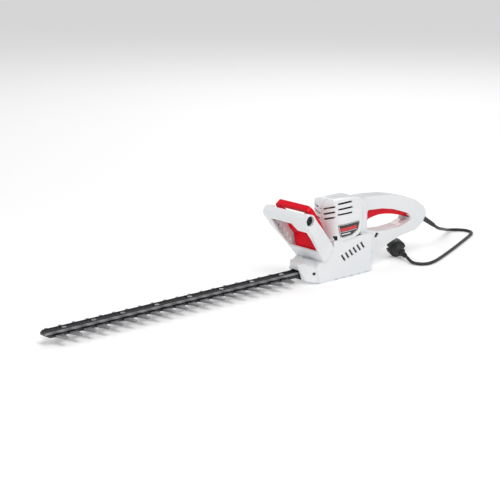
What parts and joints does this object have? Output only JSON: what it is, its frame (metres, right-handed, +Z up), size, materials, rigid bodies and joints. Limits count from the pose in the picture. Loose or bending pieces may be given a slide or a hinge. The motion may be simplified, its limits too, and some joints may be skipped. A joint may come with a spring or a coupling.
{
  "type": "hedge trimmer",
  "caption": "Corded electric hedge trimmer with double-sided reciprocating blades, a leaning front handle with switch bail, a looped rear handle with trigger, and its cord and plug.",
  "frame": {"origin": "on the surface the machine rests on, under the axis of the upright motor", "axes": "-X along the blade towards its tip, +X along the rear handle, +Z up; the machine is nearly symmetric about the plane Y = 0"},
  "size_m": [1.2164, 0.1701, 0.1714],
  "materials": {
    "white_plastic": "smooth gloss moulding",
    "red_plastic": "satin gloss moulding",
    "grey_plastic": "matt",
    "black_plastic": "matt",
    "black_rubber": "satin flexible sheath",
    "cast_metal": "die cast",
    "blade_steel": "darkened, ground edges",
    "bright_steel": "zinc plated",
    "lamination_steel": "stacked sheet",
    "copper": "enamelled wire and copper bars",
    "brass": "pressed",
    "carbon": "matt",
    "yellow_plastic": "dipped",
    "ivory_plastic": "matt"
  },
  "bodies": {
    "machine": {"housing_left": "white_plastic", "housing_right": "white_plastic", "base_cover": "white_plastic", "nose_cover": "white_plastic", "gear_case": "cast_metal", "gear_cover": "cast_metal", "front_handle": "white_plastic", "bar_end_plugs": "black_rubber", "handle_screws": "bright_steel", "nose_screws": "bright_steel", "base_screws": "bright_steel", "housing_screws": "bright_steel", "gear_screws": "bright_steel", "side_labels": "black_plastic", "stator_core": "lamination_steel", "stator_windings": "copper", "upper_bearing": "bright_steel", "lower_bearing": "bright_steel", "brush_holders": "brass", "carbon_brushes": "carbon", "crank_bush": "brass", "guide_bar": "blade_steel", "bar_screws": "bright_steel", "blade_bolts": "bright_steel", "blade_nuts": "bright_steel", "bail_pivot_pins": "bright_steel", "front_microswitch": "black_plastic", "trigger_pin": "bright_steel", "rear_microswitch": "black_plastic", "capacitor": "yellow_plastic", "terminal_block": "ivory_plastic", "cord_clamp": "black_plastic", "strain_relief": "black_rubber", "power_cord": "black_rubber", "plug_body": "black_rubber", "plug_pins": "brass"},
    "crank": {"drive_gear": "bright_steel", "crankshaft": "bright_steel"},
    "rotor": {"rotor_core": "lamination_steel", "rotor_shaft": "bright_steel", "commutator": "copper", "cooling_fan": "black_plastic", "motor_pinion": "bright_steel"},
    "upper_cutter": {"upper_blade": "blade_steel"},
    "lower_cutter": {"lower_blade": "blade_steel"},
    "front_bail": {"front_switch_bail": "red_plastic", "bail_spring": "bright_steel"},
    "front_switch_pin": {"front_plunger": "red_plastic"},
    "trigger": {"rear_trigger": "red_plastic", "trigger_spring": "bright_steel"},
    "rear_switch_pin": {"rear_plunger": "grey_plastic"}
  },
  "joints": [
    {"name": "crank_spin", "type": "hinge", "parent": "machine", "child": "crank", "pos_m": [-0.0375, 0, 0.04], "axis": [0, 0, 1], "continuous": true},
    {"name": "motor_spin", "type": "hinge", "parent": "machine", "child": "rotor", "pos_m": [0, 0, 0.1], "axis": [0, 0, 1], "continuous": true},
    {"name": "upper_blade_stroke", "type": "slide", "parent": "machine", "child": "upper_cutter", "axis": [1, 0, 0], "range_m": [-0.0075, 0.0075]},
    {"name": "lower_blade_stroke", "type": "slide", "parent": "machine", "child": "lower_cutter", "axis": [1, 0, 0], "range_m": [-0.0075, 0.0075]},
    {"name": "bail_squeeze", "type": "hinge", "parent": "machine", "child": "front_bail", "pos_m": [-0.06207, 0, 0.07284], "axis": [0, -1, 0], "range_deg": [0, 4], "stiffness_Nm_per_rad": 4, "springref_deg": -2.86},
    {"name": "front_pin_push", "type": "slide", "parent": "machine", "child": "front_switch_pin", "axis": [0.809, 0, 0.5878], "range_m": [-0.0074, 0]},
    {"name": "trigger_squeeze", "type": "hinge", "parent": "machine", "child": "trigger", "pos_m": [0.204, 0, 0.1], "axis": [0, 1, 0], "range_deg": [0, 4], "stiffness_Nm_per_rad": 2, "springref_deg": -2.86},
    {"name": "rear_pin_push", "type": "slide", "parent": "machine", "child": "rear_switch_pin", "axis": [0, 0, 1], "range_m": [0, 0.0052]}
  ],
  "couplings": [
    {"joint": "motor_spin", "follows": "crank_spin", "ratio": -4},
    {"joint": "lower_blade_stroke", "follows": "upper_blade_stroke", "ratio": -1},
    {"joint": "front_pin_push", "follows": "bail_squeeze", "m_per_rad": -0.103},
    {"joint": "rear_pin_push", "follows": "trigger_squeeze", "m_per_rad": 0.073}
  ]
}
